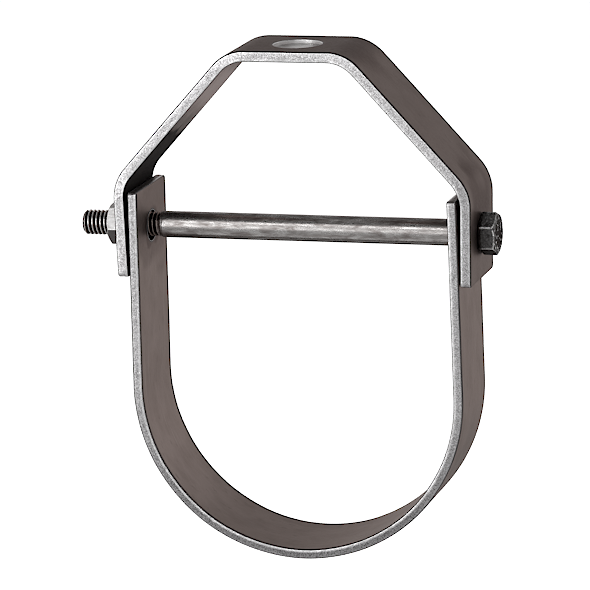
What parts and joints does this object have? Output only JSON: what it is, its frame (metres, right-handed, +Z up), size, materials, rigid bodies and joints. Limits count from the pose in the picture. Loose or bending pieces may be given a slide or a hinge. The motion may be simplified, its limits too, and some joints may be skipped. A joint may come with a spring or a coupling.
{
  "type": "clevis hanger",
  "caption": "Adjustable clevis pipe hanger: a bent yoke with a rod hole, a U strap for the pipe and a cross bolt with its nut.",
  "frame": {"origin": "centre of the rod hole, at the middle of the thickness of the yoke's top flat", "axes": "+Z up along the hanger rod, X along the cross bolt with its head at +X, Y along the pipe"},
  "size_m": [0.1602, 0.035, 0.1926],
  "materials": {
    "bar_steel": "plain hot-rolled strip with a thin grey-brown mill scale and bright sheared edges",
    "bolt_steel": "plain drawn steel, oiled, with a dark head",
    "nut_steel": "plain dark steel with bright corners"
  },
  "bodies": {
    "yoke": {"upper_yoke": "bar_steel"},
    "strap": {"lower_strap": "bar_steel"},
    "bolt": {"cross_bolt": "bolt_steel"},
    "nut": {"hex_nut": "nut_steel"}
  },
  "joints": [
    {"name": "strap_swing", "type": "hinge", "parent": "yoke", "child": "strap", "pos_m": [0, 0, -0.0675], "axis": [1, 0, 0], "range_deg": [-14, 14]},
    {"name": "bolt_turn", "type": "hinge", "parent": "yoke", "child": "bolt", "pos_m": [0, 0, -0.0675], "axis": [1, 0, 0], "range_deg": [0, 2340]},
    {"name": "nut_travel", "type": "slide", "parent": "yoke", "child": "nut", "axis": [-1, 0, 0], "range_m": [0, 0.01035]}
  ],
  "couplings": [
    {"joint": "nut_travel", "follows": "bolt_turn", "m_per_rad": 0.00025266}
  ]
}
